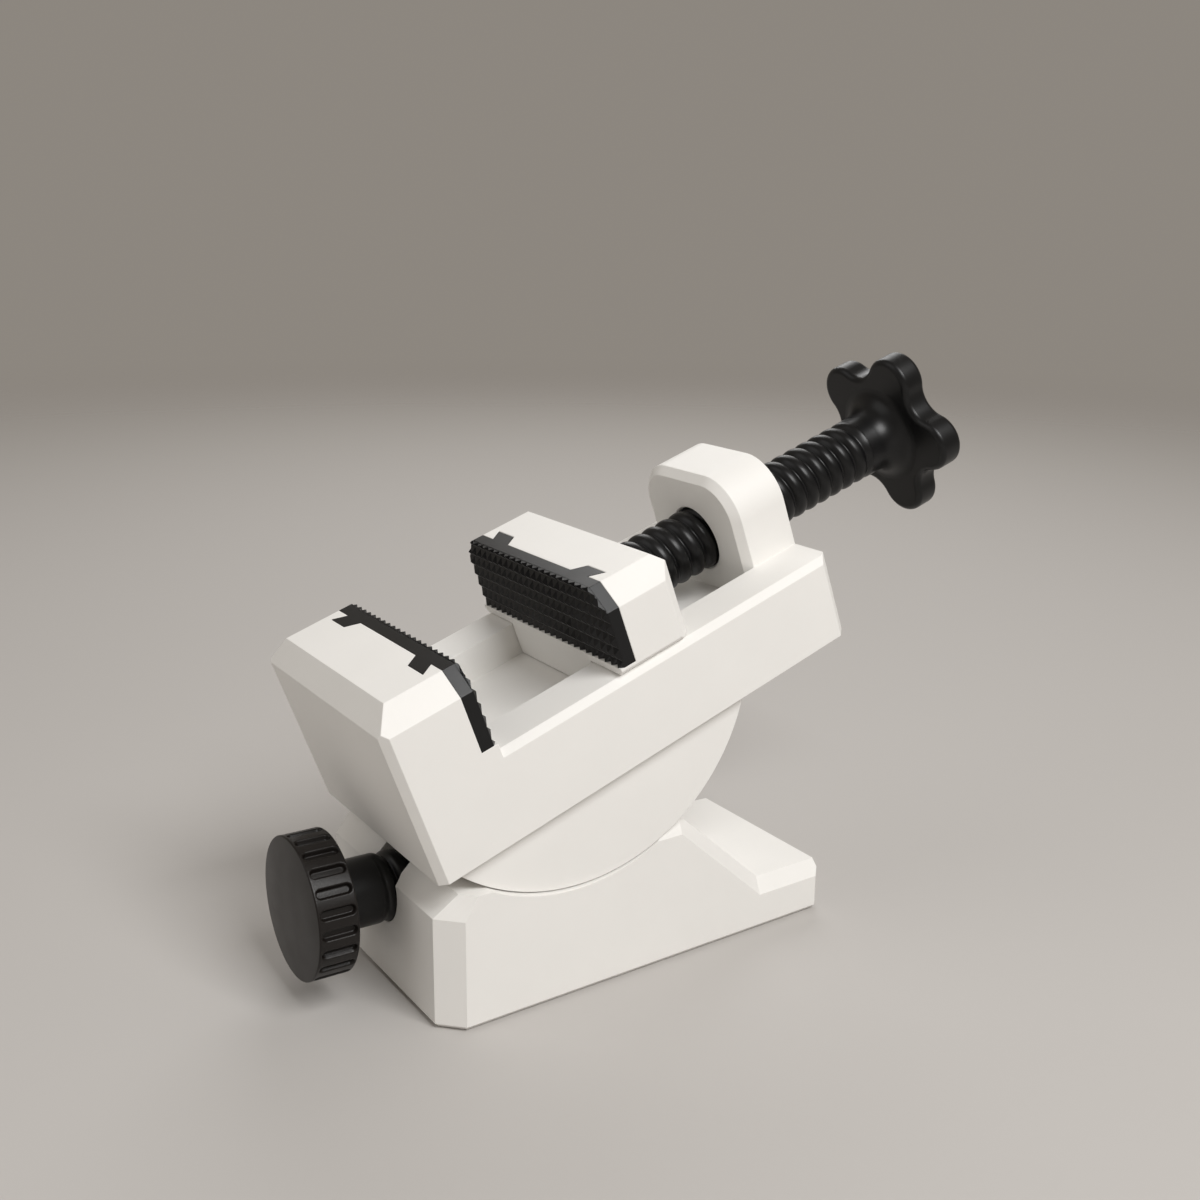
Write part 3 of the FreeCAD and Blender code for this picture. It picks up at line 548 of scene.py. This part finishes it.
def threaded(name, length, radius):
    """A length of thread that starts at the origin."""
    piece = bpy.data.objects.new(name, bpy.data.meshes.new(name))
    bpy.context.scene.collection.objects.link(piece)
    give_sizes(piece, coarse_thread, {
        "Crest Radius": radius, "Root Radius": radius - THREAD_DEPTH, "Pitch": THREAD_PITCH,
        "Length": length, "Finish": black})
    return piece


screw_tip = turned("screw_tip", [
    (tip, 0, 0), (tip, SCREW_RADIUS, TIP_EDGE), (NECK_START, SCREW_RADIUS, TIP_EDGE / 2),
    (NECK_START, NECK_RADIUS, 0), (neck_end, NECK_RADIUS, 0), (neck_end, 0, 0)],
    COLUMNS, black)


def hollow_flare(end, length, rise):
    """Corners of a flare that opens out towards a knob's face."""
    angles = [math.pi / 2 * step / 9 for step in range(10)]
    return [(end - length * (1 - math.sin(a)), SCREW_RADIUS + rise * (1 - math.cos(a)), 0)
            for a in angles]


hub = turned("screw_hub", [(hub_start, 0, 0), (hub_start, SCREW_RADIUS, 0)]
             + hollow_flare(knob_face, FLARE_LENGTH, FLARE_RISE) + [(knob_face, 0, 0)],
             COLUMNS, black)
axis_turn = Matrix.Translation(screw_start) @ Matrix.Rotation(lean, 4, "X")
screw_thread = threaded("screw_thread", hub_start - neck_end, SCREW_RADIUS)
lead_screw = merged("lead_screw_finished", [
    (screw_tip, 0, Matrix()), (screw_thread, neck_end, Matrix()), (hub, 0, Matrix())],
    axis_turn)
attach(lead_screw, "screw")
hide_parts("lead_screw")

# Star knob: five round lobes, pressed on the square end of the lead screw. Its rims are
# rounded for the hand.
softened("star_knob", "screw", black, 0.55 * MM)

# Lock screw: the same thread, from the knob into the base's front wall, with a thin end
# that turns in the brake shoe.
SPIGOT_RADIUS, SPIGOT_LENGTH = 3.5 * MM, 4.0 * MM
LOCK_HUB, LOCK_FLARE_LENGTH, LOCK_FLARE_RISE = 9.0 * MM, 2.4 * MM, 2.2 * MM
lock_start = Vector(joints["lock_turn"]["pos_m"])
toward_base = Vector(joints["lock_turn"]["axis"]).normalized()
_, spigot_end, _ = along_node("lock_screw", lock_start, toward_base)
grip_front, grip_back, grip_radius = along_node("lock_knob", lock_start, toward_base)
thread_end = spigot_end - SPIGOT_LENGTH
spigot = turned("lock_spigot", [
    (thread_end, 0, 0), (thread_end, SPIGOT_RADIUS, 0), (spigot_end, SPIGOT_RADIUS, 0.4 * MM),
    (spigot_end, 0, 0)], COLUMNS, black)
lock_hub = turned("lock_hub", [(grip_back, 0, 0)] + [
    (2 * grip_back - along, out, 0)
    for along, out, _ in reversed(hollow_flare(grip_back, LOCK_FLARE_LENGTH, LOCK_FLARE_RISE))]
    + [(grip_back + LOCK_HUB, SCREW_RADIUS, 0), (grip_back + LOCK_HUB, 0, 0)], COLUMNS, black)
lock_thread = threaded("lock_thread", thread_end - grip_back - LOCK_HUB, SCREW_RADIUS)
lock_screw = merged("lock_screw_finished", [
    (lock_hub, 0, Matrix()), (spigot, 0, Matrix()),
    (lock_thread, thread_end, Matrix.Rotation(math.pi, 4, "Z"))],
    Matrix.Translation(lock_start))
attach(lock_screw, "lock")
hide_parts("lock_screw")


# Lock knob: a flat round grip. Its rim has 22 long round-ended hollows, and its face keeps
# the fine grain of the printer's bed.
def fluted_tree():
    """Hollows with round ends, pressed evenly into the side of a turned grip."""
    tree, given, (radius, count, width, depth, middle, straight) = new_tree(
        "fluted_grip", ("Radius", "Count", "Width", "Depth", "Middle", "Straight"), True)
    across, along, up = place_of(tree)
    angle = up.math("ARCTAN2", across)
    share = (angle * count / math.tau + 0.5).math("FRACT") - 0.5
    sideways = share * radius * math.tau / count
    endways = ((along - middle).math("ABSOLUTE") - straight).most(0.0)
    far = (sideways * sideways + endways * endways).math("SQRT")
    hollow = (width / 2 - far).eased(0.0, width / 6)
    shrink = (radius - depth * hollow) / radius
    finish_tree(tree, given, given.outputs["Mesh"], across * shrink, along, up * shrink, False)
    return tree


FLUTES = 22
FLUTE_WIDTH, FLUTE_DEPTH = 2.3 * MM, 1.25 * MM
FLUTE_FRONT, FLUTE_REAR = 0.5 * MM, 0.35 * MM
GRIP_ROW = 0.16 * MM
GRIP_EDGE = 0.35 * MM
FACE_DOME = 0.5 * MM
FACE_FLAT = 8.0 * MM
grip_face = grip_front + FACE_DOME
side_rows = round((grip_back - grip_face - GRIP_EDGE * 2) / GRIP_ROW)
side_line = [(grip_face + GRIP_EDGE + (grip_back - grip_face - GRIP_EDGE * 2) * row / side_rows,
              grip_radius, 0) for row in range(1, side_rows)]
grip = turned("lock_grip", [
    (grip_front, 0, 0), (grip_front, FACE_FLAT, 0), (grip_face, grip_radius, GRIP_EDGE)]
    + side_line + [(grip_back, grip_radius, GRIP_EDGE), (grip_back, 0, 0)],
    FLUTES * 26, black)
flute_start, flute_end = grip_face + FLUTE_FRONT, grip_back - FLUTE_REAR
grained = satin_plastic("black_grained", (0.0055, 0.0042, 0.0035), 0.36, 0.35 * MM, 0.05 * MM)
give_sizes(grip, fluted_tree(), {
    "Radius": grip_radius, "Count": FLUTES, "Width": FLUTE_WIDTH, "Depth": FLUTE_DEPTH,
    "Middle": (flute_start + flute_end) / 2,
    "Straight": (flute_end - flute_start - FLUTE_WIDTH) / 2, "Finish": grained})
settle(grip, "lock_knob_finished", "lock", "lock_knob")
grip.data.transform(Matrix.Translation(lock_start))

# Studio: a pale floor that fades into the backdrop, a large soft key light over the +X side
# and two weaker lights.
HALF_FLOOR = 3.0
FADE_START, FADE_END = 0.35, 1.4
floor_mesh = bpy.data.meshes.new("floor")
floor_mesh.from_pydata([(-HALF_FLOOR, -HALF_FLOOR, 0), (HALF_FLOOR, -HALF_FLOOR, 0),
                        (HALF_FLOOR, HALF_FLOOR, 0), (-HALF_FLOOR, HALF_FLOOR, 0)], [],
                       [(0, 1, 2, 3)])
floor = bpy.data.objects.new("floor", floor_mesh)
bpy.context.scene.collection.objects.link(floor)
floor_material = bpy.data.materials.new("pale_floor")
floor_material.use_nodes = True
floor_shader = floor_material.node_tree.nodes["Principled BSDF"]
floor_shader.inputs["Base Color"].default_value = (0.5, 0.48, 0.46, 1)
floor_shader.inputs["Roughness"].default_value = 0.7
floor_place = floor_material.node_tree.nodes.new("ShaderNodeTexCoord")
floor_far = floor_material.node_tree.nodes.new("ShaderNodeVectorMath")
floor_far.operation = "LENGTH"
floor_fade = floor_material.node_tree.nodes.new("ShaderNodeMapRange")
floor_fade.interpolation_type = "SMOOTHSTEP"
floor_fade.inputs["From Min"].default_value = FADE_START
floor_fade.inputs["From Max"].default_value = FADE_END
floor_clear = floor_material.node_tree.nodes.new("ShaderNodeBsdfTransparent")
floor_blend = floor_material.node_tree.nodes.new("ShaderNodeMixShader")
for source, target in (
        (floor_place.outputs["Object"], floor_far.inputs[0]),
        (floor_far.outputs["Value"], floor_fade.inputs["Value"]),
        (floor_fade.outputs["Result"], floor_blend.inputs[0]),
        (floor_shader.outputs["BSDF"], floor_blend.inputs[1]),
        (floor_clear.outputs["BSDF"], floor_blend.inputs[2]),
        (floor_blend.outputs["Shader"],
         floor_material.node_tree.nodes["Material Output"].inputs["Surface"])):
    floor_material.node_tree.links.new(source, target)
floor_mesh.materials.append(floor_material)

world = bpy.data.worlds.new("studio")
bpy.context.scene.world = world
world.use_nodes = True
background = world.node_tree.nodes["Background"]
background.inputs["Color"].default_value = (0.66, 0.6, 0.53, 1)
background.inputs["Strength"].default_value = 0.4


def lamp(name, place, aim, width, power):
    """A soft square lamp that looks at a point of the vise."""
    light = bpy.data.lights.new(name, "AREA")
    light.size = width
    light.energy = power
    holder = bpy.data.objects.new(name, light)
    bpy.context.scene.collection.objects.link(holder)
    holder.location = place
    holder.rotation_euler = (Vector(aim) - Vector(place)).to_track_quat("-Z", "Y").to_euler()


lamp("key", (0.75, 0.05, 0.85), (0, 0, 0.05), 0.5, 10.0)
lamp("fill", (-0.2, -0.9, 0.7), (0, 0, 0.05), 0.8, 1.8)
lamp("back", (-0.75, 0.5, 0.7), (0, 0, 0.05), 0.6, 3.0)

# Camera: at the near right corner of the base, a little above the jaws.
CAMERA_PLACE = (0.2701, -0.1691, 0.1646)
CAMERA_AZIMUTH = math.radians(56.48)
CAMERA_DIP = math.radians(15.16)
CAMERA_ROLL = 0.014
FRAME_WIDTH = 1200
FOCAL_PIXELS = 1458.8
CENTRE_X, CENTRE_Y = 622.8, 604.8
right = Vector((math.cos(CAMERA_AZIMUTH), math.sin(CAMERA_AZIMUTH), 0))
forward = Vector((-math.sin(CAMERA_AZIMUTH) * math.cos(CAMERA_DIP),
                  math.cos(CAMERA_AZIMUTH) * math.cos(CAMERA_DIP), -math.sin(CAMERA_DIP)))
down = forward.cross(right)
rolled_right = right * math.cos(CAMERA_ROLL) - down * math.sin(CAMERA_ROLL)
rolled_down = right * math.sin(CAMERA_ROLL) + down * math.cos(CAMERA_ROLL)
lens = bpy.data.cameras.new("camera")
lens.sensor_width = 36.0
lens.lens = lens.sensor_width * FOCAL_PIXELS / FRAME_WIDTH
lens.shift_x = (FRAME_WIDTH / 2 - CENTRE_X) / FRAME_WIDTH
lens.shift_y = (CENTRE_Y - FRAME_WIDTH / 2) / FRAME_WIDTH
lens.clip_start = 0.01
camera = bpy.data.objects.new("camera", lens)
bpy.context.scene.collection.objects.link(camera)
view_turn = Matrix((rolled_right, -rolled_down, -forward)).transposed().to_4x4()
camera.matrix_world = Matrix.Translation(CAMERA_PLACE) @ view_turn
bpy.context.scene.camera = camera
bpy.context.scene.view_settings.view_transform = "Standard"
